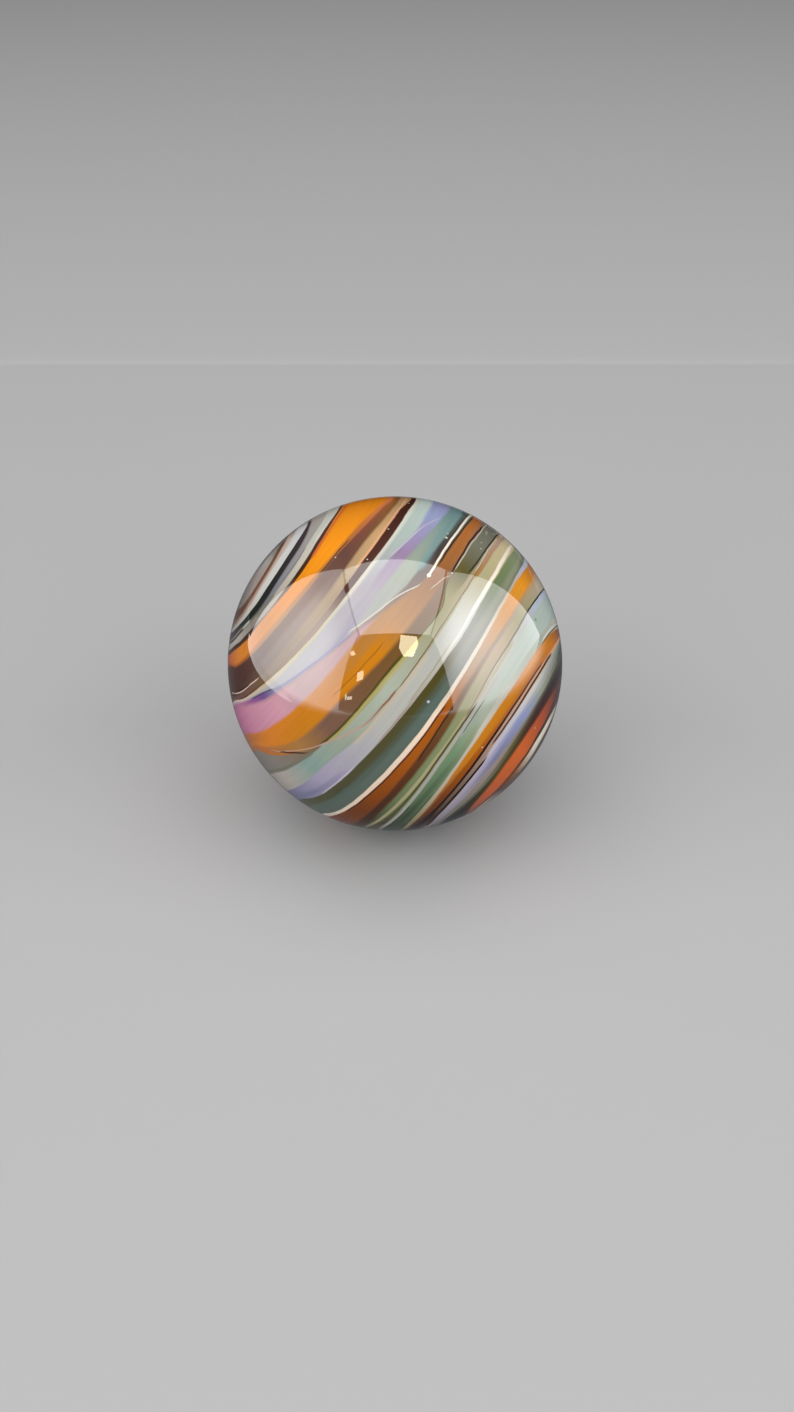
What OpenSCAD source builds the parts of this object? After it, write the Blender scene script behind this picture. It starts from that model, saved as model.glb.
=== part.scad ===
// Glass marble: a solid ball of swirled glass, one piece.
//
// The ball is cooled from a single melt.  Ribbons of coloured glass run through
// it side by side, and they all circle one tilted axis, the swirl.  They show on
// the ball as colour only: each band is a slice of the same ball, and the slices
// meet face to face with no step, so together they are one solid.
//
// Frame: millimetres, +Z up, origin at the centre of the ball.  -Y is the side
// that faces the viewer.

/* [Ball] */
// Diameter of the ball
ball_d = 25; // [12:0.5:50]

/* [Swirl] */
// Lean of the swirl's axis away from upright, in degrees
swirl_lean = 55; // [0:1:90]
// Direction in which the axis leans, in degrees from +X towards +Y
swirl_turn = 164; // [0:1:359]

/* [Hidden] */

ball_r = ball_d / 2;
// How far each band runs under the next one.
melt = 0.02;
// Width of the slab that cuts a band: wider than the ball, so only its two faces cut.
slab_w = 2 * ball_d;
// Facets round the ball in a preview; its true surface is an exact sphere.
ball_fn = 96;

// The bands, from the swirl's raised pole to its lower one.  Each row holds the
// angle from the raised pole at which the band ends, and the colour of its glass.
BANDS = [
    [ 16,   "#77706f"],  // smoke cap
    [ 20.5, "#6d4b40"],  // brown ribbon
    [ 26.5, "#c3c4bd"],  // milk
    [ 30,   "#26302b"],  // bottle green, nearly black
    [ 35.5, "#b9c2b4"],  // mint
    [ 44.5, "#e8862a"],  // upper orange
    [ 52,   "#4b3a40"],  // plum
    [ 55,   "#b08a4e"],  // tan
    [ 58,   "#4b1e1b"],  // maroon thread
    [ 62,   "#b4c9c4"],  // pale mint
    [ 68,   "#c98fb0"],  // pink
    [ 79,   "#e58a2c"],  // middle orange
    [ 84.5, "#5d4138"],  // umber
    [ 88.5, "#a8c4ae"],  // mint
    [ 94.5, "#c2c3cf"],  // lavender milk
    [ 95.5, "#f3ead6"],  // cream thread
    [102.5, "#2f5a50"],  // teal
    [104.5, "#f3ead6"],  // cream thread
    [108.5, "#b4692c"],  // amber
    [115,   "#8f9a6b"],  // sage
    [120.5, "#b0d2c3"],  // mint
    [126.5, "#de8428"],  // lower orange
    [130,   "#4a2a24"],  // maroon ribbon
    [135,   "#9a9acb"],  // lavender
    [141,   "#3c3d34"],  // olive
    [149.5, "#d85f30"],  // red orange
    [152,   "#4a2a1e"],  // brown thread
    [160,   "#cfc9b4"],  // cream
    [180,   "#6e655c"],  // smoke cap
];

// The angle at which band i starts: where the one before it ends.
function band_start(i) = i == 0 ? 0 : BANDS[i - 1][0];

// The height of a band's edge along the swirl's axis.
function edge_z(angle) = ball_r * cos(angle);

// One ribbon of glass: the slice of the ball between two angles from the pole.
// It runs a little way under the next ribbon, because the two are melted together.
module band(start, end, colour) {
    color(colour)
        intersection() {
            sphere(d = ball_d, $fn = ball_fn);
            translate([-slab_w / 2, -slab_w / 2, edge_z(end) - melt])
                cube([slab_w, slab_w, edge_z(start) - edge_z(end) + melt]);
        }
}

// The whole ball: every band in turn about the leaning axis, fused as one melt.
module marble() {
    rotate([0, swirl_lean, swirl_turn])
        for (i = [0 : len(BANDS) - 1])
            band(band_start(i), BANDS[i][0], BANDS[i][1]);
}

marble();
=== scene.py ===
# %% [markdown]
# # A swirled glass marble
# The real ball is one solid drop of glass. Its maker lays rods of coloured and
# clear glass side by side, melts them together, twists the gather once and rounds
# it while hot, so each rod ends as a ribbon that circles the ball on a slant.
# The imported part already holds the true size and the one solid. This lesson adds
# how the ball looks: the ribbons, the fine threads between them, the tiny
# bubbles, the polished skin, and a light tent for the skin to mirror.

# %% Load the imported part
import math

import bpy
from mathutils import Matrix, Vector


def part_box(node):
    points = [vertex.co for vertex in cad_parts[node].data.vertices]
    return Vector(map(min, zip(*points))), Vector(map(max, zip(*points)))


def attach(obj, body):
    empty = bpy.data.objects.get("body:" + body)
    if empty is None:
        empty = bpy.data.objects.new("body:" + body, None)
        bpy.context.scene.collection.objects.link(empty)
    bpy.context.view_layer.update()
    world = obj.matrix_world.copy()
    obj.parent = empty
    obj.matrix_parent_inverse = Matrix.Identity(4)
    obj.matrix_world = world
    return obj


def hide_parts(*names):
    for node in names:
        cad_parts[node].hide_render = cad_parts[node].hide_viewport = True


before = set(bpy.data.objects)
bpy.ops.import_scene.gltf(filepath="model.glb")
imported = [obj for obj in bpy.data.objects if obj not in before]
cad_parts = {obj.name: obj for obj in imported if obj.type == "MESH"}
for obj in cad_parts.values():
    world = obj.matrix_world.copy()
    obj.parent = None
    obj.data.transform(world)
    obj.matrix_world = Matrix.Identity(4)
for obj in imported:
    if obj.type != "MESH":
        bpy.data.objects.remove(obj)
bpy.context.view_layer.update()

low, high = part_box("marble")
radius = max(high[i] - low[i] for i in range(3)) / 2
print(f"the ball is {2000 * radius:.2f} mm across and rests at z = {1000 * low[2]:.2f} mm")

# %% [markdown]
# All ribbons circle one leaning line, the axis of the twist, as latitude circles
# the Earth. A place on the ball is then two angles, as on a globe:
#
# - its tilt, 0 at the raised end of the axis and 180 at the hidden low end;
# - its turn, 0 on the side that faces the viewer, -180 to 180 round the axis.
#
# Three directions, worked out once here, give both angles. The lean and the
# bearing of the axis are the same two values as in the part's own source.

# %% Directions of the twist
view_elevation = math.radians(31.5)
swirl_lean = math.radians(55)
swirl_turn = math.radians(164)

to_viewer = Vector((0, -math.cos(view_elevation), math.sin(view_elevation)))
pole = Vector((math.sin(swirl_lean) * math.cos(swirl_turn),
               math.sin(swirl_lean) * math.sin(swirl_turn),
               math.cos(swirl_lean)))
front = (to_viewer - to_viewer.dot(pole) * pole).normalized()
side = pole.cross(front)
print("axis of the twist", [round(v, 3) for v in pole])

# %% [markdown]
# Shape and paint are both made of node trees here. A few short helpers keep them
# readable. They all work on one tree at a time, the one that lies on the bench.

# %% Helpers for node trees
bench = {}


def add_node(kind, **settings):
    """Adds a node to the tree on the bench."""
    node = bench["tree"].nodes.new(kind)
    for name, value in settings.items():
        setattr(node, name, value)
    return node


def feed(socket, value):
    """Puts a link, or a plain value, into an input."""
    if isinstance(value, bpy.types.NodeSocket):
        bench["tree"].links.new(value, socket)
    else:
        socket.default_value = value


def maths(operation, first, second=0.0):
    """One sum on numbers or sockets, for short formulas."""
    node = add_node("ShaderNodeMath", operation=operation)
    feed(node.inputs[0], first)
    feed(node.inputs[1], second)
    return node.outputs[0]


def vectors(operation, first, second=None):
    """The same for vectors. A dot product or a distance comes out as a number."""
    node = add_node("ShaderNodeVectorMath", operation=operation)
    feed(node.inputs[0], first)
    if second is not None:
        feed(node.inputs["Scale" if operation == "SCALE" else 1], second)
    return node.outputs["Value" if operation in ("DOT_PRODUCT", "DISTANCE") else "Vector"]


print("bench ready")

# %% [markdown]
# The skin of the ball is a real sphere in the part. Blender's own ball meshes pinch
# at two poles or waste faces, so this one starts as a cube whose faces are
# divided, and Geometry Nodes push every point out to the radius. Taking the
# tangent of each coordinate first spreads the points evenly, so the faces come
# out nearly alike all over, and a bake or a print sees no seam and no pinch.
# The tree has named inputs for its sizes.

# %% Tree that blows the ball
def ball_tree():
    """A cube of even faces blown up into a ball, with no poles to pinch."""
    tree = bench["tree"] = bpy.data.node_groups.new("blown_ball", "GeometryNodeTree")
    tree.interface.new_socket("Geometry", in_out="OUTPUT", socket_type="NodeSocketGeometry")
    for label, kind in (("Radius", "Float"), ("Rows a side", "Int"), ("Glass", "Material")):
        tree.interface.new_socket(label, in_out="INPUT", socket_type="NodeSocket" + kind)
    source = add_node("NodeGroupInput").outputs
    cube = add_node("GeometryNodeMeshCube")
    feed(cube.inputs["Size"], (2, 2, 2))
    for axis in "XYZ":
        feed(cube.inputs["Vertices " + axis], source["Rows a side"])
    place = add_node("GeometryNodeInputPosition").outputs[0]
    even = vectors("TANGENT", vectors("SCALE", place, math.pi / 4))
    move = add_node("GeometryNodeSetPosition")
    feed(move.inputs["Geometry"], cube.outputs["Mesh"])
    feed(move.inputs["Position"], vectors("SCALE", vectors("NORMALIZE", even), source["Radius"]))
    smooth = add_node("GeometryNodeSetShadeSmooth")
    feed(smooth.inputs["Geometry"], move.outputs[0])
    realize = add_node("GeometryNodeRealizeInstances")
    feed(realize.inputs[0], smooth.outputs[0])
    dress = add_node("GeometryNodeSetMaterial")
    feed(dress.inputs["Geometry"], realize.outputs[0])
    feed(dress.inputs["Material"], source["Glass"])
    feed(add_node("NodeGroupOutput").inputs[0], dress.outputs[0])
    return tree


# %% Helpers that run a tree and keep its mesh
def set_out(name, data):
    """A new object at the origin of the scene."""
    made = bpy.data.objects.new(name, data)
    bpy.context.scene.collection.objects.link(made)
    return made


def grow_mesh(name, tree, inputs):
    """Runs a tree on an empty mesh, its inputs set by socket identifier, and keeps the result."""
    seed = set_out(name + "_seed", bpy.data.meshes.new(name + "_seed"))
    modifier = seed.modifiers.new("grow", "NODES")
    modifier.node_group = tree
    sockets = {item.name: item.identifier for item in tree.interface.items_tree
               if item.item_type == "SOCKET" and item.in_out == "INPUT"}
    for label, value in inputs.items():
        modifier[sockets[label]] = value
    bpy.context.view_layer.update()
    evaluated = seed.evaluated_get(bpy.context.evaluated_depsgraph_get())
    mesh = bpy.data.meshes.new_from_object(evaluated)
    mesh.name = name
    seed.modifiers.remove(modifier)
    bpy.data.objects.remove(seed)
    return set_out(name, mesh)


# %% [markdown]
# The ribbons are opaque and lie right at the skin, so they can be painted by the
# material instead of cut into the mesh. That keeps their edges sharp at any
# distance. The material starts from Object coordinates, which travel with
# the piece, and turns them into the globe's two angles: the dot products with
# the three directions give x, y and z along the axis, arc-cosine gives the tilt
# and arc-tangent gives the turn. Both are scaled to run from 0 to 1.

# %% Start the glass material
swirled_glass = bpy.data.materials.new("swirled_glass")
swirled_glass.use_nodes = True
glass = bench["tree"] = swirled_glass.node_tree
place = add_node("ShaderNodeTexCoord").outputs["Object"]
unit_place = vectors("NORMALIZE", place)
toward_front = vectors("DOT_PRODUCT", unit_place, front)
toward_side = vectors("DOT_PRODUCT", unit_place, side)
tilt = maths("DIVIDE", maths("ARCCOSINE", vectors("DOT_PRODUCT", unit_place, pole)), math.pi)
turn = maths("ADD", maths("DIVIDE", maths("ARCTAN2", toward_side, toward_front), 2 * math.pi), 0.5)
print("the glass knows its tilt and turn")

# %% [markdown]
# Hot glass never runs perfectly straight. Two layers of noise push the tilt a
# little before any ribbon reads it, so every edge wavers together and ribbons
# never cross. The fine layer is about a fifth of a degree, as on the clean front.
# The broad one is several degrees and grows only towards the far side, where the
# maker's twist closed up and the ribbons sway more.

# %% Waver of the ribbons
def noise(vector, scale, detail):
    """A cloudy pattern that varies about 0."""
    node = add_node("ShaderNodeTexNoise")
    for label, value in (("Vector", vector), ("Scale", scale), ("Detail", detail)):
        feed(node.inputs[label], value)
    return maths("SUBTRACT", node.outputs["Fac"], 0.5)


def ease(value, start, end, low_end=0.0, high_end=1.0, kind="SMOOTHSTEP"):
    """Goes smoothly from low_end to high_end while value goes from start to end."""
    node = add_node("ShaderNodeMapRange", interpolation_type=kind, clamp=False)
    for socket, number in zip(node.inputs, (value, start, end, low_end, high_end)):
        feed(socket, number)
    return node.outputs["Result"]


fine_waver = 0.5 / 180
far_waver = 16 / 180
fine = maths("MULTIPLY", noise(place, 9 / radius, 2), fine_waver)
sway = maths("MULTIPLY", noise(place, 1.4 / radius, 1), ease(toward_front, 0.1, -0.6, 0, far_waver))
wavy_tilt = maths("ADD", tilt, maths("ADD", fine, sway))
print("fine waver", round(180 * fine_waver, 2), "degrees, far sway", round(180 * far_waver, 1))

# %% [markdown]
# A glassmaker's rack of coloured rods. Every ribbon, thread and speck on the ball is
# drawn from these colours, each a round paint-chart code, so a change here changes
# that glass wherever it runs. Along a ribbon one rod may pass softly into another,
# as two rods do where they were pulled together.

# %% Rack of rods
SMOKES = {"soot": "584840", "stone": "686860", "drab": "787868", "slate": "808088",
          "smoke": "888078", "pewter": "909090", "dove": "a098a0", "ash": "a09088",
          "fog": "b8b0a8", "silver": "b0b0a8", "milk": "d0d0c8", "pearl": "e0e0e0"}
CREAMS = {"straw": "b0a880", "sand": "c0b098", "bone": "c8c0b0", "parchment": "d0c098",
          "blush": "d8c0b0", "chalk": "d8d8c8", "cream": "f0d8c0", "ivory": "f8ecd8"}
DARKS = {"black": "181008", "bottle": "202820", "ink": "303030", "oxblood": "381008",
         "coffee": "402818", "ebony": "484040", "maroon": "482820", "plum": "504048",
         "garnet": "583830"}
BROWNS = {"brown": "603820", "cocoa": "684840", "walnut": "705028", "umber": "785848",
          "russet": "885040", "bronze": "806848", "taupe": "887060", "chestnut": "906038",
          "fawn": "987850", "tawny": "a87840", "wheat": "a89070", "tan": "c8a070",
          "rosewood": "b89888"}
ORANGES = {"rust": "783c10", "brick": "b05030", "ember": "a85810", "clay": "c86030",
           "copper": "b87038", "honey": "c87c18", "tiger": "d07810", "ginger": "d87038",
           "amber": "d88028", "flame": "d86828", "marigold": "e89828", "salmon": "e88858",
           "apricot": "e0a880", "orange": "f89820"}
PINKS = {"indigo": "484060", "violet": "704c88", "heather": "8080a0", "mauve": "9880a0",
         "periwinkle": "9098c0", "lavender": "a0a8d0", "lilac": "a8a0b8", "ice": "b8c0d0",
         "mist": "c0b8c8", "puce": "b09090", "pink": "c07098", "rose": "c888a0",
         "shell": "d098a8"}
GREENS = {"spruce": "404c38", "olive": "504820", "loden": "505038", "forest": "505848",
          "teal": "586860", "fern": "607858", "moss": "605830", "willow": "708058",
          "jade": "709070", "sea": "789898", "sage": "889068", "khaki": "989068",
          "aqua": "88a098", "celadon": "98a090", "lichen": "98a080", "lime": "a8a060",
          "mint": "a8b0a0", "frost": "b0c0b8", "rime": "d0e0d8"}
RACK = SMOKES | CREAMS | DARKS | BROWNS | ORANGES | PINKS | GREENS
print(len(RACK), "rods on the rack")

# %% [markdown]
# A ribbon is laid like a coat of paint that covers everything below its upper
# edge. The next ribbon then covers all but a strip of it, and so on down the
# ball. So only upper edges are needed, ribbons can never leave a gap, and a
# ribbon that thins to nothing simply meets the next edge.
#
# The edge is a list of tilts in degrees at a few turns. A Float Curve joins them
# smoothly and closes them round the back. The colour may change along a
# ribbon, so it can be one rod or a short list of rods by turn. The soft value says
# over how many degrees the edge melts into its neighbour.

# %% Helpers for colours and curves
def paint(rod):
    """The colour of a rod, turned from its code into the renderer's own numbers."""
    code = RACK[rod]
    parts = [int(code[i:i + 2], 16) / 255 for i in (0, 2, 4)]
    return tuple(c / 12.92 if c <= 0.04045 else ((c + 0.055) / 1.055) ** 2.4 for c in parts) + (1.0,)


def between(a, b, share):
    return a + (b - a) * share


def between_paints(a, b, share):
    return tuple(between(p, q, share) for p, q in zip(a, b))


def all_round(by_turn, blend):
    """Adds points behind the ball, so that the list closes on itself at 180."""
    first, last = min(by_turn), max(by_turn)
    hidden = 360 - (last - first)
    closed = dict(by_turn)
    for at in (-180, -130, 130, 180):
        share = (at - last) % 360 / hidden
        closed[at] = blend(by_turn[last], by_turn[first], share)
    return sorted(closed.items())


def curve(points, top=180.0):
    """A smooth curve over the turn, through (turn, value) points in degrees."""
    node = add_node("ShaderNodeFloatCurve")
    feed(node.inputs["Value"], bench["Turn"])
    line = node.mapping.curves[0]
    while len(line.points) < len(points):
        line.points.new(0.5, 0.5)
    for point, (at, value) in zip(line.points, points):
        point.location = ((at + 180) / 360, value / top)
        point.handle_type = "AUTO_CLAMPED"
    node.mapping.update()
    return node.outputs["Value"]


def tint(rods):
    """One rod's colour, or a soft run from rod to rod along the turn."""
    if isinstance(rods, str):
        return paint(rods)
    node = add_node("ShaderNodeValToRGB")
    feed(node.inputs["Fac"], bench["Turn"])
    stops = all_round({at: paint(rod) for at, rod in rods.items()}, between_paints)
    stops = [stop for stop in stops if abs(stop[0]) != 130]
    for i, (at, shade) in enumerate(stops):
        spot = (at + 180) / 360
        element = node.color_ramp.elements[i] if i < 2 else node.color_ramp.elements.new(spot)
        element.position = spot
        element.color = shade
    return node.outputs["Color"]


# %% [markdown]
# Some fifty ribbons and as many threads make hundreds of nodes, far too many
# for one tree to stay readable. So each stretch of the ball gets a node group of its
# own, with four inputs: the colour so far, the tilt, the turn and the place.
# The groups follow one another in the glass tree like stations on a bench.

# %% Helpers that open and close a section
counted = {"ribbons": 0, "threads": 0, "specks": 0}
feeds = {"Colour": paint("soot"), "Tilt": wavy_tilt, "Turn": turn, "Place": unit_place}
kinds = {"Colour": "Color", "Tilt": "Float", "Turn": "Float", "Place": "Vector"}


def open_section(name):
    """Puts a new, empty group on the bench."""
    tree = bench["tree"] = bpy.data.node_groups.new(name, "ShaderNodeTree")
    for label, kind in kinds.items():
        tree.interface.new_socket(label, in_out="INPUT", socket_type="NodeSocket" + kind)
    tree.interface.new_socket("Colour", in_out="OUTPUT", socket_type="NodeSocketColor")
    source = add_node("NodeGroupInput").outputs
    for label in kinds:
        bench[label] = source[label]


def close_section():
    """Ends the group on the bench and sets it into the glass tree."""
    tree = bench["tree"]
    feed(add_node("NodeGroupOutput").inputs["Colour"], bench["Colour"])
    bench["tree"] = glass
    section = add_node("ShaderNodeGroup", node_tree=tree)
    for label, value in feeds.items():
        feed(section.inputs[label], value)
    feeds["Colour"] = section.outputs["Colour"]
    print(tree.name, "so far:", counted)


# %% Helpers that lay ribbons and draw threads
def lay(mask, shade):
    """Lays a colour over all that is painted so far, where the mask is 1."""
    mix = add_node("ShaderNodeMix", data_type="RGBA")
    feed(mix.inputs["Factor"], mask)
    feed(mix.inputs["A"], bench["Colour"])
    feed(mix.inputs["B"], shade)
    bench["Colour"] = mix.outputs["Result"]


def ribbon(edge, rods, soft=0.3):
    """Lays a ribbon below an upper edge given as tilts by turn."""
    below = maths("SUBTRACT", bench["Tilt"], curve(all_round(edge, between)))
    lay(ease(below, -soft / 180, soft / 180), tint(rods))
    counted["ribbons"] += 1


def thread(path, width, rods, soft=0.15, taper=5.0):
    """Draws a thin line of glass along tilts by turn, its ends pulled to points."""
    start, end = min(path), max(path)
    points = sorted(path.items())
    points = [(-180, points[0][1])] + points + [(180, points[-1][1])]
    off = maths("ABSOLUTE", maths("SUBTRACT", bench["Tilt"], curve(points)))
    full = width / 2 + soft
    girth = [(-180, 0), (start, 0), (start + taper, full), (end - taper, full), (end, 0), (180, 0)]
    within = maths("SUBTRACT", curve(girth), off)
    lay(ease(within, 0, 2 * soft / 180), tint(rods))
    counted["threads"] += 1


# %% [markdown]
# The smoky end. Round the raised end of the axis the glass is thin and cloudy:
# greys and beiges melt into each other, then a white one, and the first dark
# ribbon is the thin black-green one that the eye finds at once. A ramp that runs
# straight from pole to pole could paint rings like these, but real ribbons wander
# and change width, so each gets its own edge. They are laid from the raised end
# down, in the order in which they lie on the ball.

# %% Ribbons of the smoky end
open_section("smoky_end")
ribbon({0: 3.5}, "smoke", soft=1.5)
ribbon({0: 8}, {-75: "stone", -30: "ash", 5: "fog", 60: "soot"}, soft=2)
ribbon({-75: 19, -50: 20.4, -25: 19.3, -10: 17.6, 10: 15.4, 25: 13.6, 50: 11.4, 75: 10},
       {-48: "brown", -25: "umber", 20: "umber", 75: "soot"})
ribbon({-75: 23.5, -50: 24.1, -25: 22, 0: 19.5, 25: 16.6, 50: 14.6, 75: 13.6},
       {-60: "taupe", -30: "rosewood", 45: "blush", 75: "umber"}, soft=0.7)
ribbon({-75: 25.4, -50: 25.8, -40: 25.5, -25: 23.9, 0: 21.4, 25: 19.8, 50: 18, 75: 17.2},
       {-60: "fog", -20: "milk", 60: "pearl", 78: "pewter"}, soft=0.8)
ribbon({-75: 27, -50: 27.7, -30: 27.9, -10: 26.6, 10: 25.2, 30: 24, 50: 23.1, 75: 21.6},
       {-75: "plum", -48: "bottle", 0: "ink", 60: "plum"}, soft=0.2)
ribbon({-75: 29.7, -50: 29.8, -40: 30.6, -30: 31.3, -20: 31.1, 0: 29.4, 20: 28.2, 30: 27.4, 40: 26.3,
        50: 25, 60: 23.9, 75: 23}, {-60: "smoke", -28: "stone", -8: "slate", 60: "fog"}, soft=0.6)
ribbon({-75: 31, -50: 31.8, -30: 32.4, -10: 32.8, 10: 32.4, 30: 30.6, 50: 29.8, 75: 28.8},
       {-60: "fog", -35: "smoke", 12: "bone", 55: "milk"})
close_section()

# %% [markdown]
# The first orange ribbon. A hair of dark glass edges the bright orange, which
# cools through ember into plum and tan. That is one rod whose colours bled into each
# other in the heat, so these edges are softer than the ones above.

# %% Ribbons from the first orange to tan
open_section("first_orange_to_tan")
ribbon({-75: 33.1, -60: 33.4, -50: 34.3, -40: 34.6, -30: 35.4, -20: 35.8, 0: 35.7, 20: 34.8, 30: 34,
        40: 33.5, 75: 33.2}, {-35: "coffee", -18: "taupe", 5: "coffee", 75: "cocoa"}, soft=0.2)
ribbon({-75: 34.6, -60: 35.2, -50: 36, -40: 36.6, -30: 36.4, 5: 37.5, 20: 36.7, 30: 35.9, 40: 35.1,
        50: 34.6, 75: 34.3}, {-75: "clay", -55: "amber", -25: "honey", 25: "orange"})
thread({15: 37.2, 25: 36.6, 40: 35.8, 60: 35.5, 80: 35.6}, 1.2, "ginger", soft=0.5)
ribbon({-75: 37.6, -60: 40.2, -40: 41.6, -10: 42.3, 10: 43.2, 20: 43.8, 40: 45.3, 60: 47.9, 75: 49.7},
       {-60: "ember", -15: "tawny", 35: "copper", 75: "salmon"}, soft=0.8)
ribbon({-75: 38.4, -60: 41, -40: 43, -10: 44.2, 10: 44.8, 20: 45.2, 40: 47.5, 60: 49.6, 75: 51.4},
       {-60: "maroon", 0: "umber", 25: "cocoa", 45: "russet", 75: "copper"}, soft=0.6)
thread({8: 44.5, 18: 44.8, 26: 45.1, 36: 46}, 0.4, "coffee")
ribbon({-75: 43, -60: 46.4, -50: 48, -25: 47.6, 0: 48.6, 25: 49.6, 50: 50.2, 75: 52.4},
       {-62: "maroon", 0: "taupe", 20: "cocoa", 65: "chestnut"}, soft=1.2)
ribbon({-75: 49.4, -50: 50.9, -25: 51.8, 0: 51.8, 30: 51.5, 50: 52.6, 75: 53.8},
       {-60: "cocoa", -22: "bronze", 15: "wheat", 38: "tan"}, soft=0.7)
close_section()

# %% [markdown]
# Maroon, cream, frost, violet and pink. A crisp maroon ribbon rides on a thin
# cream one. Below them the pale glass opens into a fan: frost, violet and teal
# on the right, pink that fills the left and thins to a point. A ribbon that is
# missing on one side is given an edge that dips under its neighbour there.

# %% Ribbons from maroon to pink
open_section("maroon_to_pink")
ribbon({-75: 50.2, -60: 51.8, -40: 53.7, -20: 54.6, 0: 55.5, 30: 55.3, 60: 55.8, 68: 56.8, 78: 57.6},
       {-60: "maroon", -40: "walnut", 0: "taupe", 10: "garnet", 60: "maroon"}, soft=0.2)
ribbon({-75: 50.4, -60: 52.2, -50: 53.4, -40: 54.5, -30: 55.6, -20: 56.6, -10: 57.3, 20: 58, 40: 58.5,
        60: 58.6, 75: 59.2}, {-65: "blush", -15: "straw", 12: "bone", 50: "chalk"}, soft=0.2)
ribbon({-75: 51.2, -60: 53, -40: 55.8, -20: 57.8, 0: 58.8, 30: 59.5, 60: 60, 75: 60.6},
       {15: "dove", 45: "frost", 75: "rime"}, soft=0.6)
ribbon({-75: 51.4, -60: 53.2, -50: 54.9, -42: 56.8, -38: 58, -30: 60.2, -20: 62.5, -10: 64.4, 0: 64,
        10: 62, 30: 62.6, 50: 64.6, 60: 64.4, 75: 64.8},
       {-70: "pink", -45: "violet", -37: "heather", 15: "dove", 34: "mauve", 60: "lavender"}, soft=0.7)
ribbon({-75: 52.6, -60: 54.9, -50: 57.5, -38: 59.9, -20: 63.6, 0: 66.6, 20: 66.4, 40: 67.6, 60: 69.8,
        75: 70.8}, {-20: "dove", 30: "celadon", 70: "sea"}, soft=0.7)
ribbon({-75: 52.6, -60: 54.9, -50: 57.5, -38: 59.9, -20: 63.6, 0: 67.4, 20: 71.5, 40: 73, 60: 74.5,
        75: 75.3}, {10: "taupe", 42: "ebony", 70: "teal"}, soft=0.6)
ribbon({-75: 52.4, -60: 54.7, -50: 57.2, -44: 58.8, -38: 59.7, -30: 61.3, -20: 63.4, -10: 65.5, 0: 67.7,
        10: 71.5, 20: 76, 40: 79, 75: 81}, {-75: "pink", -58: "rose", -40: "shell", -28: "puce"},
       soft=1.1)
thread({-56: 54.3, -50: 55.2, -45: 56.2, -40: 57.4, -35: 59}, 0.5, "indigo", soft=0.25)
thread({28: 72.4, 45: 72.2, 60: 73, 78: 74.4}, 1.6, "sea", soft=1.3)
close_section()

# %% [markdown]
# The orange wedge is the broadest warm field, amber at the left and honey in the
# middle, with an umber underside. Then come the clear olive-sage glass and a
# mint one.

# %% Ribbons from the orange wedge to mint
open_section("wedge_to_mint")
ribbon({-75: 62, -60: 64.5, -50: 66.2, -40: 67.6, -20: 69.3, 0: 69.9, 10: 70.9, 20: 73.6, 30: 76,
        40: 76.8, 60: 77.8, 75: 79},
       {-72: "copper", -54: "amber", -30: "honey", 12: "tawny", 30: "chestnut", 60: "copper"}, soft=0.7)
ribbon({-75: 66, -60: 67.5, -50: 70, -40: 71, -20: 73.5, 0: 74.5, 20: 75, 30: 76.5, 40: 81, 75: 83},
       {-58: "amber", -38: "honey", 0: "honey", 12: "tawny", 30: "chestnut"}, soft=1.2)
ribbon({-75: 66.4, -60: 70.2, -50: 73.6, -40: 76, -20: 77.6, 0: 79.7, 20: 80.6, 40: 80.9, 60: 81.2,
        75: 82.4}, {-64: "copper", -45: "tawny", -31: "umber", 5: "walnut", 50: "taupe"}, soft=0.9)
ribbon({-75: 68.5, -60: 73.9, -50: 77.7, -40: 81, -20: 83.5, 0: 84.2, 10: 84.6, 20: 84.9, 26: 84.3,
        30: 82.8, 40: 82, 60: 82.7, 75: 83.9},
       {-60: "smoke", -40: "bronze", -5: "straw", 28: "khaki", 40: "moss", 54: "drab"}, soft=0.25)
ribbon({-75: 78.2, -60: 80, -40: 82.3, -20: 84.8, 0: 85.6, 20: 85.7, 40: 86.8, 60: 87.7, 75: 88.7},
       {-65: "fog", -48: "aqua", -30: "celadon", -8: "mint", 25: "khaki", 60: "wheat"}, soft=0.25)
thread({-42: 81.6, -35: 82.4, -25: 83.2, -15: 83.5, 0: 83.6, 8: 84.4}, 0.8, "olive")
thread({8: 84.7, 20: 85.2, 25: 84.8, 30: 82.8, 36: 81.6}, 0.6, "moss")
thread({-38: 83.2, -25: 84.2, -10: 84.3, 0: 84.6, 14: 85.4}, 0.8, "lime", soft=0.4)
close_section()

# %% [markdown]
# Round the middle of the ball lies its widest pale field, lavender at the left
# and cream at the right, above a dark green field that turns to teal. The thick
# cream line under that is the strongest line on the ball.

# %% Ribbons from the pale field to the thick cream line
open_section("pale_field_to_cream_line")
ribbon({-75: 86, -60: 86.8, -40: 87.7, -20: 89.9, 0: 89.7, 20: 89.3, 40: 88.4, 60: 88.9, 75: 90.2},
       {-72: "heather", -50: "lilac", -15: "silver", 22: "silver", 45: "straw", 65: "parchment"})
ribbon({-75: 91, -60: 93.4, -40: 94.8, -20: 95.5, 0: 95.7, 20: 95.6, 40: 94.6, 60: 95.1, 75: 96.4},
       {-50: "loden", 10: "olive", 22: "stone", 50: "willow", 78: "lichen"}, soft=0.2)
ribbon({-75: 95, -50: 97.6, 0: 98.4, 25: 97.4, 50: 97.6, 75: 98.4},
       {-50: "teal", -20: "forest", 2: "forest", 24: "drab", 75: "lichen"}, soft=0.9)
ribbon({-75: 98.5, -50: 99.8, 0: 100, 25: 99.6, 75: 100}, {0: "teal", 15: "stone", 40: "drab"}, soft=0.9)
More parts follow.
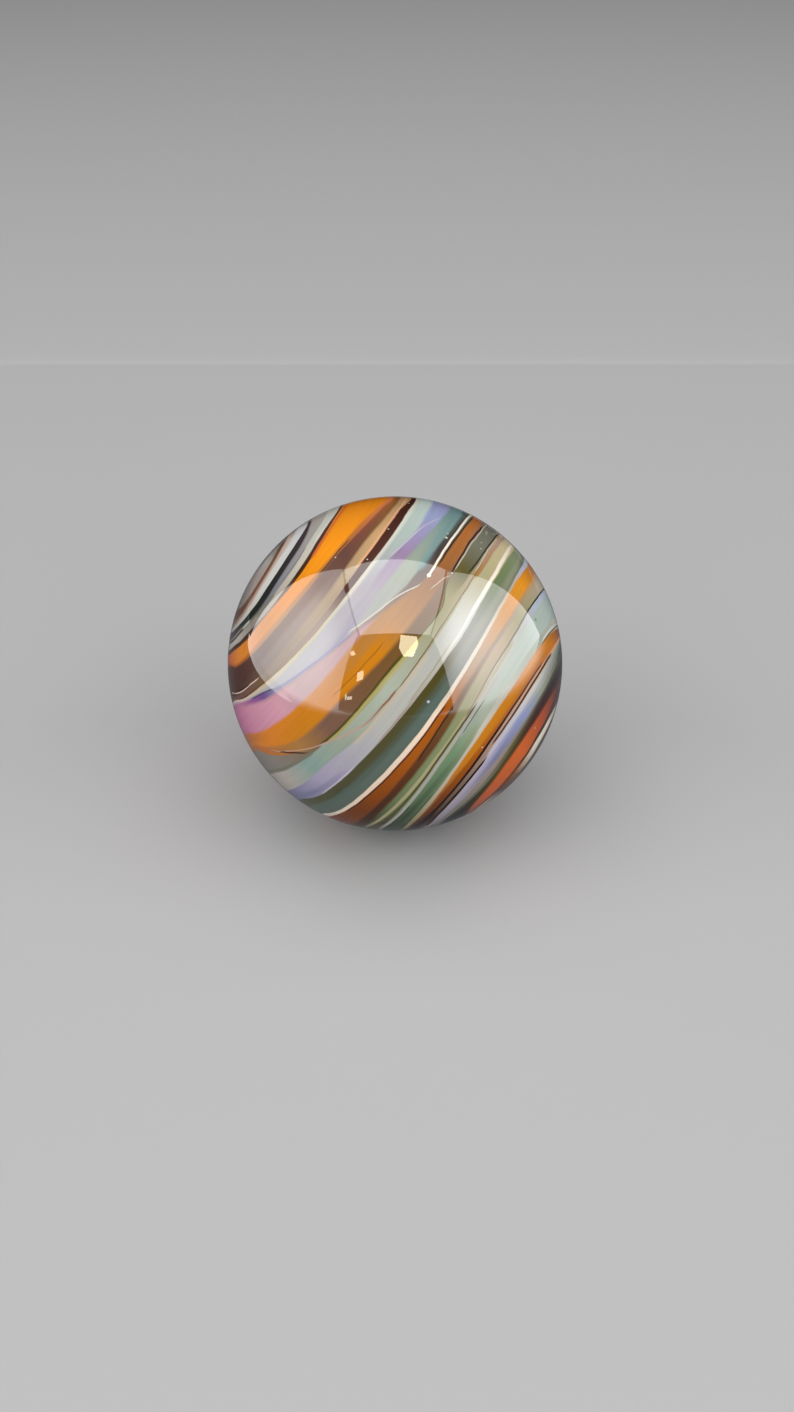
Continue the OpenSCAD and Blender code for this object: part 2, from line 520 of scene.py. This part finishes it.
ribbon({-75: 100.2, -68: 101.4, -60: 102.3, -40: 103.2, -20: 103.4, 0: 102.7, 20: 101.4, 40: 100.4,
        60: 100.7, 75: 101.6},
       {-75: "ivory", -50: "cream", -8: "cream", 14: "bone", 48: "sand", 62: "ice"}, soft=0.2)
close_section()

# %% [markdown]
# Amber glass hangs under the cream line like honey, dark at the left and glowing at
# the right, with a brown foot. Sage, silver and green follow, and a pale line
# closes them off.

# %% Ribbons from amber to the pale line
open_section("amber_to_pale_line")
ribbon({-75: 102.5, -60: 103.7, -40: 104.8, -20: 105.1, 0: 104.2, 10: 103.4, 20: 102.6, 30: 101.8,
        40: 101.3, 50: 101.2, 60: 102, 75: 103.4},
       {-55: "rust", -20: "ember", -2: "ember", 18: "fawn", 55: "marigold", 80: "copper"}, soft=0.2)
ribbon({-75: 110.5, -50: 110, -30: 109.2, -10: 107.8, 10: 105.8, 30: 105.4, 50: 105.6, 75: 107.4},
       {-60: "coffee", -25: "brown", 12: "walnut", 30: "taupe", 60: "tan"}, soft=0.7)
ribbon({-75: 114, -50: 112.8, -30: 112.1, -10: 110.7, 10: 107.7, 30: 106.5, 50: 106.9, 75: 109},
       {-60: "loden", -40: "willow", -5: "sage", 25: "wheat", 42: "khaki", 68: "sand"}, soft=0.7)
ribbon({-75: 122, -60: 121, -40: 120, -20: 118, -8: 116.5, 0: 113, 10: 111.5, 30: 110.4, 50: 110.5,
        75: 113}, {40: "silver", 55: "ice"})
ribbon({-75: 120.9, -60: 119.9, -40: 118.9, -20: 117.4, 0: 115.4, 20: 113.6, 40: 112.6, 60: 113.9,
        75: 115.5}, {-64: "spruce", -35: "fern", -12: "jade", 5: "mint", 62: "frost"})
ribbon({-75: 126.5, -50: 124.6, -30: 123.1, -10: 121.1, 0: 119.8, 10: 118.8, 30: 118.6, 50: 120,
        60: 121.5, 75: 124}, {-55: "khaki", -30: "sand", 0: "bone", 42: "celadon", 65: "bone"})
close_section()

# %% [markdown]
# The lower orange ribbon ends in a maroon field, nearly black at the left. A
# pink-brown strip and a lavender field lie under it. The lavender is four soft
# ribbons, because it darkens slowly downwards.

# %% Ribbons from the lower orange to the lower lavender
open_section("lower_orange_to_lavender")
ribbon({-75: 127.5, -50: 126.5, -30: 124.6, -10: 122.3, 10: 121, 30: 120.9, 50: 122.6, 60: 124.7,
        75: 127.6}, {-60: "brown", -38: "chestnut", -15: "honey", 48: "honey", 75: "rust"})
ribbon({-75: 128.2, -50: 127.3, -30: 125.6, -10: 124.9, 20: 124.5, 40: 124.7, 60: 126.5, 75: 128.8},
       {-60: "coffee", -35: "rust", -10: "ember", 35: "copper", 52: "tiger", 75: "rust"}, soft=0.7)
ribbon({-75: 129.2, -50: 128.8, -40: 128.6, -30: 128.2, -20: 127.7, -10: 127, 0: 126.2, 10: 125.7,
        30: 125.9, 50: 127.6, 75: 130.6}, {-60: "black", -20: "oxblood", 5: "oxblood", 32: "umber"},
       soft=0.25)
ribbon({-75: 131.8, -60: 131.2, -50: 130.8, -40: 129.8, -20: 128.7, 0: 127.2, 15: 126.5, 30: 126.3,
        40: 126.8, 60: 128.8, 75: 130.6}, {-50: "coffee", -20: "taupe", 5: "rosewood", 60: "apricot"},
       soft=0.2)
ribbon({-75: 134, -60: 133.2, -40: 132.5, -20: 131.3, 0: 129.2, 20: 128.5, 40: 128.7, 60: 130, 75: 131.5},
       {-60: "ash", -10: "mist", 30: "milk", 52: "celadon", 74: "stone"}, soft=0.25)
ribbon({-60: 134, -40: 133.5, -20: 132.5, 0: 131, 20: 130.6, 40: 130.2, 60: 131.5},
       {-15: "lilac", 15: "periwinkle", 32: "silver", 50: "pewter", 62: "teal"}, soft=1.0)
ribbon({-40: 135, -20: 134, 0: 132.8, 20: 132.4, 40: 132.6},
       {-30: "dove", -5: "heather", 18: "periwinkle", 32: "celadon", 50: "drab", 62: "spruce"}, soft=0.8)
ribbon({-50: 136, -30: 136, -10: 135.6, 10: 135, 40: 134.6}, {-40: "smoke", -10: "ash", 30: "drab"},
       soft=0.6)
close_section()

# %% [markdown]
# The foot. Dark olive runs into brown-black, a red-orange glow and a cream
# ribbon, and the low end of the axis closes in smoke like the raised one. The cream
# is painted as bright ivory to offset the shade near the lower rim, so it is partly
# the glass's own cream and partly painted light. The last
# few rings face away from the viewer.

# %% Ribbons of the foot
open_section("foot")
ribbon({-75: 139, -50: 138.2, -30: 138.7, -10: 137.8, 10: 136.5, 30: 135.5, 50: 134.6, 75: 134.6},
       {-52: "ink", -22: "drab", 5: "moss", 25: "ebony", 60: "loden"}, soft=0.7)
ribbon({-50: 140, -20: 140.2, 0: 139, 20: 137.5, 50: 136.5},
       {-50: "black", -10: "olive", 20: "maroon", 60: "ink"}, soft=0.6)
ribbon({-75: 149, -60: 148, -40: 144.4, -20: 143, 0: 141.4, 20: 140.8, 50: 141, 75: 144},
       {-58: "russet", -30: "clay", 5: "flame", 28: "brick", 50: "garnet"}, soft=0.9)
ribbon({-60: 150.5, -40: 149.6, -20: 150.4, 0: 150, 10: 149.6, 20: 148.2, 30: 147.4, 50: 144.8, 75: 147},
       {-45: "brown", -10: "rust", 22: "coffee", 50: "garnet"}, soft=0.5)
# The ivory stretch of this cream ribbon is painted brighter to offset the shade near the lower rim:
# partly the glass's cream, partly painted light.
ribbon({-75: 152.5, -50: 150.8, -40: 150.8, -20: 153.2, 0: 152.6, 20: 150.8, 40: 149.8, 60: 150.6,
        75: 152}, {-52: "blush", -28: "garnet", -10: "chestnut", 15: "ivory", 36: "ivory", 60: "smoke"})
ribbon({-75: 156, -50: 158, 0: 158.4, 25: 155.6, 50: 153.6, 75: 154.5}, "soot", soft=1.2)
ribbon({0: 163}, "smoke", soft=1.5)
ribbon({0: 168}, "soot", soft=1.2)
ribbon({0: 173}, "ash", soft=1.2)
close_section()

# %% [markdown]
# Threads are the hair-thin lines of white, ink and brown glass that the twist drew
# out between the ribbons. They carry much of the fine look, so each is drawn by
# itself: a path in the same two angles, a width in degrees (one degree is about
# a fifth of a millimetre on the skin) and pulled-out ends.

# %% Threads of the upper half
open_section("upper_threads")
thread({-78: 30.6, -60: 31, -50: 31.1, -43: 31.1}, 0.7, "ink")
thread({-49: 30.8, -42: 30.9, -34: 31.4}, 1.0, "silver", soft=0.25)
thread({-32: 33.3, -20: 33.1, -8: 33}, 0.6, "stone", soft=0.2)
thread({-7: 32.1, 5: 32, 15: 31.6, 27: 30.9}, 0.6, "slate", soft=0.2)
thread({28: 32.9, 45: 32.8, 60: 32.6, 82: 32.6}, 0.9, "chalk", soft=0.25)
thread({58: 54.7, 66: 55, 76: 55.8}, 0.4, "khaki")
thread({18: 54.6, 30: 54.9, 60: 55.3, 80: 56}, 0.8, "apricot", soft=0.2)
thread({-80: 47.4, -60: 49.8, -50: 50.5, -40: 51.5}, 0.4, "blush")
thread({-75: 47.8, -60: 49.2, -48: 50.2}, 0.4, "oxblood")
thread({-36: 59.3, -30: 60.6, -20: 62.9, -10: 65.1, 2: 67.4}, 0.6, "heather", soft=0.3)
thread({-4: 66, 5: 68, 10: 69.4, 15: 70.7, 20: 72.4, 29: 75.7}, 0.45, "bone")
thread({28: 62.2, 40: 63.8, 47: 65, 52: 66, 57: 67.8, 63: 69.4}, 0.5, "mist")
thread({34: 75, 45: 75.1, 55: 75.5, 65: 76.2, 80: 77.5}, 0.5, "ebony")
thread({29: 76.1, 40: 75.8, 50: 76, 60: 76.6, 70: 77.3, 84: 78.8}, 0.75, "ivory", taper=2)
thread({34: 76.8, 45: 76.8, 55: 77.3, 65: 78, 80: 79.3}, 0.4, "coffee")
thread({25: 78.8, 30: 79.8, 33: 80.5, 37: 82.2}, 0.3, "sand", taper=3)
thread({34: 81.5, 50: 81.3, 60: 81.9, 74: 83.2}, 0.6, "coffee")
thread({36: 82, 50: 82, 60: 82.7, 70: 83.6, 82: 84.7}, 0.35, "bone")
thread({-62: 71, -55: 74.2, -50: 76.4, -45: 78.9, -40: 81.1, -34: 83.2}, 0.4, "rosewood")
thread({-58: 73.8, -50: 77.2, -42: 80.9}, 0.7, "maroon", soft=0.2)
thread({-82: 76.6, -70: 77.5, -60: 79, -50: 80.7, -40: 82}, 1.0, "drab", soft=0.2)
thread({-24: 74.7, -15: 75.6, -5: 76.4, 6: 77}, 0.2, "walnut", soft=0.3)
close_section()

# %% Threads round the middle
open_section("middle_threads")
thread({-42: 81.2, -35: 83.2, -30: 85.2, -25: 87.1, -20: 88.6, -12: 89, -3: 89.2}, 0.6,
       {-24: "rosewood", -12: "russet"}, soft=0.25)
thread({-8: 89.2, 0: 89.3, 10: 88.9, 20: 88.5, 30: 88.2, 40: 88.2, 53: 87.9}, 0.35, "walnut")
thread({-32: 89.8, -20: 90.2, 0: 90.2, 12: 90}, 0.8, "sand", soft=0.3)
thread({38: 86.2, 50: 86.9, 60: 87.6, 70: 88.6, 82: 89.8}, 0.5, "ink")
thread({40: 87.8, 50: 87.8, 60: 88.3, 72: 89.4}, 0.35, "bone")
thread({38: 88.7, 50: 89, 60: 89.6, 70: 90.6, 82: 92.2}, 1.3, {42: "tawny", 65: "rosewood"}, soft=0.3)
thread({-82: 87.6, -70: 89.6, -60: 91.4, -50: 92.6, -40: 93.8, -32: 94.3}, 2.0,
       {-60: "heather", -36: "lilac"}, soft=0.8, taper=12)
thread({-60: 93.6, -48: 94.2, -34: 94.7}, 0.5, "mist", soft=0.2)
thread({-16: 93, -2: 93}, 0.6, "silver", soft=0.2)
thread({-10: 94.6, 0: 94.4, 10: 94.2, 18: 93.9}, 0.3, "khaki")
thread({-30: 95.2, 10: 95, 20: 94.5, 36: 93.9}, 0.7, {-10: "ash", 30: "chalk"}, taper=12)
thread({16: 94.5, 30: 93.9, 40: 93.7, 50: 93.7, 60: 94, 70: 94.6, 84: 95.8}, 1.2,
       {25: "chalk", 45: "ivory"}, taper=16)
thread({-62: 104.3, -40: 105.2, -20: 105.5, 2: 104.7}, 0.5, "maroon")
thread({-24: 109.5, -15: 108.6, -8: 107.8, 4: 106.9}, 0.6, "coffee")
close_section()

# %% Threads of the lower half
open_section("lower_threads")
thread({-80: 114.6, -66: 115, -50: 115.3, -30: 114.9, -20: 114.2, -10: 113.6, 0: 112.8, 10: 112.2,
        20: 111.6, 35: 111.2}, 1.2, {-75: "drab", -60: "straw"}, soft=0.3)
thread({-80: 117, -66: 117.2, -50: 117.1, -30: 116, -10: 114, 0: 113.4, 9: 113}, 0.7, "olive", soft=0.25)
thread({-80: 120, -66: 119.2, -50: 118.9, -30: 117.3, -10: 115.2, 0: 114.5, 10: 113.9, 22: 113.3}, 1.2,
       {-75: "smoke", -60: "silver"}, soft=0.3)
thread({-82: 120.8, -66: 120.4, -52: 120, -40: 119.6}, 0.4, "ink")
thread({-8: 115.7, 0: 115.2, 12: 114.6}, 0.35, "forest")
thread({-2: 112.6, 20: 110.4, 30: 110.3, 45: 110.2, 60: 111.5, 70: 112.8, 84: 114.8}, 0.6,
       {10: "taupe", 42: "olive", 60: "ink"})
thread({-66: 122.1, -50: 121.7, -30: 120.6, -10: 119.8, 3: 118.2}, 2.0,
       {-50: "spruce", -20: "fern", 0: "lichen"}, soft=0.7)
thread({-66: 125.1, -50: 124.4, -40: 123.6, -30: 122.8}, 0.4, "spruce")
thread({-44: 129.5, -30: 128.9, -20: 128.3, -10: 127.7, 0: 126.9, 10: 126.2, 20: 125.9, 32: 126,
        42: 126.6}, 0.7, {-5: "black", 30: "garnet"})
thread({-68: 134, -55: 133.2, -48: 132.5, -40: 131.8, -30: 131.3, -20: 131, -10: 130.5, -3: 130.2}, 1.0,
       "black", taper=10)
thread({-4: 128.6, 5: 128.3, 15: 128.1, 25: 127.7, 35: 127.8, 45: 128.1, 52: 128.7}, 0.9,
       {5: "garnet", 35: "coffee"}, soft=0.2)
thread({42: 122.2, 52: 122.8, 60: 124.2, 70: 126.2, 80: 128.4}, 0.5, "walnut")
thread({44: 121.5, 55: 122.4, 63: 124, 72: 126, 82: 128.4}, 0.6, "rime")
close_section()

# %% [markdown]
# Seed bubbles and grit, and one painted glint. Melted glass traps bubbles and crumbs
# no bigger than about a quarter of a millimetre, and they show as small dots close
# under the skin. The few that the eye finds are placed one by one. One of them, the
# ice-blue dot in the dark green glass below the middle, is no bubble but a painted
# highlight: a small glint of light. A dot is the set of places near one direction,
# so the distance between two unit vectors draws it.

# %% Specks one by one
def direction_at(at_turn, at_tilt):
    """The unit direction of a place on the ball, from its two angles in degrees."""
    t, c = math.radians(at_turn), math.radians(at_tilt)
    return math.sin(c) * (math.cos(t) * front + math.sin(t) * side) + math.cos(c) * pole


def speck(at_turn, at_tilt, size=0.5, rod="chalk"):
    """One round speck, its size in degrees across."""
    off = vectors("DISTANCE", bench["Place"], direction_at(at_turn, at_tilt))
    across = math.radians(size)
    lay(ease(off, across * 0.7, across * 0.3), paint(rod))
    counted["specks"] += 1


open_section("specks")
# The ice-blue speck at turn -3, tilt 99.4 is a painted highlight, a small glint of light, not a bubble or
# grit.
for at in ((52.5, 74), (44, 75.8), (54.5, 85.7), (58, 84.9), (66, 85.2), (71, 87.5), (73, 88.1),
           (68.5, 57.4), (44, 56.1), (26, 56.2), (22, 45.7), (36.5, 81.8), (-5, 125.7), (19.5, 143.4),
           (50, 74.2, 0.9), (68, 85.1, 0.8), (31, 76.1, 1.3, "ivory"), (-3, 99.4, 0.9, "ice"),
           (49, 114.7, 1.0, "jade")):
    speck(*at)
close_section()

# %% [markdown]
# Streaks. Inside every ribbon the glass shows faint lines that run along it, where
# the gather was drawn out. A noise that is stretched along the turn and
# packed tight along the tilt gives them. Its place comes from the cosine and sine
# of the turn, not from the turn itself, so it has no seam behind the ball. It
# only makes the paint a little lighter or darker.

# %% Streaks along the ribbons
def streaks(per_degree, stretch, strength):
    """A change about 0, quick across the ribbons and slow along them."""
    spot = add_node("ShaderNodeCombineXYZ")
    feed(spot.inputs["X"], maths("MULTIPLY", toward_front, stretch))
    feed(spot.inputs["Y"], maths("MULTIPLY", toward_side, stretch))
    feed(spot.inputs["Z"], maths("MULTIPLY", wavy_tilt, 180 * per_degree))
    return maths("MULTIPLY", noise(spot.outputs[0], 1, 2), strength)


value_change = maths("ADD", streaks(0.5, 1.6, 0.17), streaks(1.4, 2.2, 0.17))
streaked = add_node("ShaderNodeHueSaturation")
feed(streaked.inputs["Value"], maths("ADD", value_change, 1))
feed(streaked.inputs["Color"], feeds["Colour"])
print("streaks laid")

# %% [markdown]
# The skin. A marble is fire-polished: it cools from the melt with a skin that
# has no grain at all. So the roughness is 0 and the index of refraction is 1.5,
# that of common glass, which mirrors four hundredths of the light face-on and
# far more at the rim. The ribbons lie so close to the skin that the glass over
# them shows no depth, so no transmission is needed.

# %% Polish the skin
skin = glass.nodes["Principled BSDF"]
skin.inputs["Roughness"].default_value = 0.0
skin.inputs["IOR"].default_value = 1.5
feed(skin.inputs["Base Color"], streaked.outputs["Color"])
print("skin polished")

# %% [markdown]
# The piece itself. The ball is grown from 110 rows of points on each side of the
# cube, about 143,000 triangles, which looks round at any distance. It rides
# on the only body and replaces the plain packed ball.

# %% Grow the ball
rows_a_side = 110
ball = grow_mesh("swirled_ball", ball_tree(),
                 {"Radius": radius, "Rows a side": rows_a_side, "Glass": swirled_glass})
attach(ball, "root")
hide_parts("marble")
print("the ball has", len(ball.data.polygons), "faces")

# %% [markdown]
# The camera stands about ten radii away and looks down on the ball by a little
# over thirty degrees, as a person at a desk does.

# %% Camera
camera = set_out("camera", bpy.data.cameras.new("camera"))
camera.data.lens = 42
camera.data.sensor_width = 36
camera.data.clip_start = 0.001
camera_distance = 9.9 * radius
camera.location = camera_distance * to_viewer
aim = radius * Vector((0.012, 0, -0.3))
camera.rotation_euler = (aim - camera.location).to_track_quat("-Z", "Y").to_euler()
bpy.context.scene.camera = camera
print(f"camera {1000 * camera_distance:.0f} mm from the ball")

# %% [markdown]
# A plain pale floor catches the ball's shadow. It is part of the stage, not of the
# piece, and it sits at the lowest point of the ball.

# %% Floor
def panel(name, corners, material):
    """A flat stage card of any outline."""
    mesh = bpy.data.meshes.new(name)
    mesh.from_pydata([tuple(c) for c in corners], [], [tuple(range(len(corners)))])
    mesh.materials.append(material)
    made = set_out(name, mesh)
    return made


floor_z = low[2]
floor_half = 6
floor_paint = bpy.data.materials.new("floor_paint")
floor_paint.use_nodes = True
matt = floor_paint.node_tree.nodes["Principled BSDF"]
matt.inputs["Base Color"].default_value = (0.5, 0.5, 0.505, 1)
matt.inputs["Roughness"].default_value = 0.9
panel("floor", [(x * floor_half, y * floor_half, floor_z)
                for x, y in ((-1, -1), (1, -1), (1, 1), (-1, 1))], floor_paint)
print(f"floor at z = {1000 * floor_z:.2f} mm")

# %% [markdown]
# Polished glass shows what stands round it as much as its own colours. A ball mirrors
# nearly the whole room, so a product studio puts it in a light tent: a box of
# bright cloth with its front and back left open and dark. On the ball the two side
# walls become two tall lobes, the seams of the tent become thin dark lines,
# and a small window becomes a warm square. The tent here is made of cards that
# only gloss can see. They give the skin its reflections and nothing else, so the
# colours of the glass stay as painted, whatever the tent does.
#
# All sizes of the tent are shares of its half width, and the helpers turn them
# into metres.

# %% Helpers for the tent
tent = 0.15


def unseen(obj, *rays):
    for ray in rays:
        setattr(obj, f"visible_{ray}", False)
    return obj


def tent_panel(name, corners, cloth):
    """A card that only gloss sees: it neither lights, shades nor shows."""
    made = panel(name, [tent * Vector(c) for c in corners], cloth)
    unseen(made, "camera", "diffuse", "shadow", "transmission")


def tent_card(name, middle, right, up, cloth):
    """The same from its middle, and half its width and height as vectors."""
    middle, right, up = Vector(middle), Vector(right), Vector(up)
    corners = (middle - right - up, middle + right - up, middle + right + up, middle - right + up)
    tent_panel(name, corners, cloth)


def floor_card(name, x_from, x_to, y_from, y_to, z, cloth):
    """The same laid flat, between two places along x and two along y."""
    x_from, x_to = sorted((x_from, x_to))
    tent_panel(name, ((x_from, y_from, z), (x_to, y_from, z), (x_to, y_to, z), (x_from, y_to, z)), cloth)


def glowing(name):
    """Puts an empty card material on the bench: an Emission and an output."""
    made = bpy.data.materials.new(name)
    made.use_nodes = True
    made.cycles.emission_sampling = "NONE"
    bench["tree"] = made.node_tree
    made.node_tree.nodes.clear()
    emission = add_node("ShaderNodeEmission")
    result = add_node("ShaderNodeOutputMaterial")
    feed(result.inputs["Surface"], emission.outputs[0])
    return made, emission, result


def plain_glow(name, strength, colour=(1, 1, 1)):
    made, emission, result = glowing(name)
    feed(emission.inputs["Color"], (*colour, 1))
    feed(emission.inputs["Strength"], strength)
    return made


def lit_cloth(name, dim, bright, middle, reach):
    """Cloth with a lamp behind it: bright at its middle, dim towards its edges."""
    made, emission, result = glowing(name)
    spot = add_node("ShaderNodeTexCoord").outputs["Object"]
    off = vectors("DISTANCE", spot, tent * Vector(middle))
    feed(emission.inputs["Strength"], ease(off, tent * reach, 0, dim, bright, "SMOOTHERSTEP"))
    return made


def lit_floor(name, strength, x_full, x_dark, y_start, y_end, fade):
    """Light lying on the floor at a wall's foot: full at the wall, nothing at its ends."""
    made, emission, result = glowing(name)
    split = add_node("ShaderNodeSeparateXYZ")
    feed(split.inputs[0], add_node("ShaderNodeTexCoord").outputs["Object"])
    light = strength
    for axis, dark_at, full_at in (("X", x_dark, x_full), ("Y", y_end, y_end - fade),
                                   ("Y", y_start, y_start + fade)):
        light = ease(split.outputs[axis], tent * dark_at, tent * full_at, 0, light)
    feed(emission.inputs["Strength"], light)
    both = add_node("ShaderNodeAddShader")
    feed(both.inputs[0], emission.outputs[0])
    feed(both.inputs[1], add_node("ShaderNodeBsdfTransparent").outputs[0])
    feed(result.inputs["Surface"], both.outputs[0])
    return made


# %% [markdown]
# The side walls are brightest where their lamps stand, and each throws a pool of
# light on the floor at its foot. The ceiling is evenly lit. The gap between wall
# and ceiling is the dark seam that shows as an arc near the top of each lobe. A
# pale sheet lies at the foot of the left wall. The rest of the tent's floor is
# dark cloth, so the lower half of the ball mirrors almost nothing and keeps its
# own deep colours.

# %% Walls, floor and ceiling
top = 1.85
tent_front = -1.4
right_back = 0.46
seam = 0.03
wall_glow = 3.6
lamp_reach = 1.1
pool_full = 0.92
pool_dark = 0.42
pool_fade = 0.3
ground = floor_z / tent
foot_z = ground + 0.002
half_wall = (top - seam - ground) / 2

for name, x, back, lean, bright, lamp_place, pool_back in (
        ("left_wall", -1, 0.5, 0, 7.0, (-1, -0.4, 0.5), 0.05),
        ("right_wall", 1, right_back, 0.05, 9.4, (1, -0.55, 0.75), right_back)):
    tent_card(name, (x, (back + tent_front) / 2, ground + half_wall),
              (0, (back - tent_front) / 2, 0), (0, -lean, half_wall),
              lit_cloth(name + "_cloth", wall_glow, bright, lamp_place, lamp_reach))
    pool = lit_floor(name + "_pool", wall_glow, pool_full * x, pool_dark * x, tent_front, pool_back,
                     pool_fade)
    floor_card(name + "_foot", x, pool_dark * x, tent_front, pool_back, foot_z, pool)

sheet_outline = ((-1, -0.25), (-0.52, -0.25), (-0.6, 0.15), (-0.65, 0.3), (-0.9, 0.5), (-1, 0.5))
tent_panel("left_sheet", [(x, y, foot_z + 0.001) for x, y in sheet_outline],
           plain_glow("left_sheet_cloth", wall_glow))
floor_card("dark_floor", -1.5, 1.5, -1.5, 0.62, ground + 0.001,
           plain_glow("dark_cloth", 0.13, (0.88, 0.92, 1)))
tent_card("ceiling", (0, -0.51, top), (1 - seam, 0, 0), (0, 0.97, 0), plain_glow("ceiling_cloth", 4.8))
print(f"tent {2000 * tent:.0f} mm wide")

# %% [markdown]
# The window is a small warm lamp over the front opening, and its outline is a
# little uneven. Four slits of light at the left of the front opening give the
# short bright strokes beside the left lobe. A black clip bridges the seam over the
# left wall. Black flags close the front and the back, so the glass between the
# lobes shows its own colours without a veil.

# %% Window, slits, clip and flags
window_outline = ((0.1, 1.24), (0.39, 1.21), (0.38, 1.0), (0.26, 0.76), (0.12, 0.76),
                  (0.06, 0.93), (0.09, 1.12))
tent_panel("window", [(x, -1.035, z) for x, z in window_outline],
           plain_glow("window_light", 17, (1.0, 0.88, 0.58)))
slit_light = plain_glow("slit_light", 12, (1.0, 0.9, 0.7))
for i, (x, z, right, up) in enumerate((
        (-0.947, 1.152, (0.05, 0.02), (-0.04, 0.06)),
        (-0.635, 0.618, (0.06, 0.03), (-0.01, 0.09)),
        (-0.87, 0.19, (0.015, 0.03), (-0.005, 0.05)),
        (-0.79, 0.18, (0.05, 0.01), (0.005, 0.03)))):
    tent_card(f"slit_{i}", (x, -1.42, z), (right[0], 0, right[1]), (up[0], 0, up[1]), slit_light)
black = plain_glow("flag_cloth", 0)
flag_z = ground + 1.2
tent_card("seam_clip", (-0.93, -0.05, 1.75), (0, 0.11, 0), (0.035, 0, 0.035), black)
tent_card("front_flag", (0, -1.5, flag_z), (1.3, 0, 0), (0, 0, 1.18), black)
tent_card("back_flag", (0, 0.62, flag_z), (1.5, 0, 0), (0, 0, 1.19), black)
print("a window, four slits, a clip and two flags")

# %% [markdown]
# The light that shows the colours comes from three big soft lamps, left, right
# and above. Gloss can't see them, so they add no highlight of their own. Their
# power is set so that a white ball would render just about white.

# %% Soft lamps
def soft_lamp(name, place, width, height, power):
    """A big soft lamp that looks at the ball, its place and size in shares of the tent."""
    lamp = bpy.data.lights.new(name, "AREA")
    lamp.shape = "RECTANGLE"
    lamp.size, lamp.size_y = tent * width, tent * height
    lamp.energy = power
    made = set_out(name, lamp)
    made.location = tent * Vector(place)
    made.rotation_euler = (-Vector(place)).to_track_quat("-Z", "Y").to_euler()
    unseen(made, "camera", "glossy")


lamp_width = 4
side_height = 2.8
side_power = 1.45
top_power = 1.3
soft_lamp("left_lamp", (-2.2, -1.5, 1.1), lamp_width, side_height, side_power)
soft_lamp("right_lamp", (2.2, -1.5, 1.1), lamp_width, side_height, side_power)
soft_lamp("top_lamp", (0, -0.2, 2.6), lamp_width, lamp_width, top_power)
print("lamps", 2 * side_power + top_power, "W in all")

# %% [markdown]
# The world is a pale backdrop to the camera, and to gloss and clear glass, and a
# weak fill for the rest. Light Path tells the rays apart. The backdrop is laid
# over the fill in the same way as one ribbon over another.

# %% World
backdrop = (0.6, 0.6, 0.61, 1)
fill = (0.12, 0.12, 0.12, 1)
world = bpy.data.worlds.new("studio")
world.use_nodes = True
bpy.context.scene.world = world
bench["tree"] = world.node_tree
bench["Colour"] = fill
rays = add_node("ShaderNodeLightPath").outputs
seen = maths("MAXIMUM", rays["Is Camera Ray"], rays["Is Glossy Ray"])
lay(maths("MAXIMUM", seen, rays["Is Transmission Ray"]), backdrop)
feed(world.node_tree.nodes["Background"].inputs["Color"], bench["Colour"])
bpy.context.scene.view_settings.view_transform = "Standard"
print("world ready")
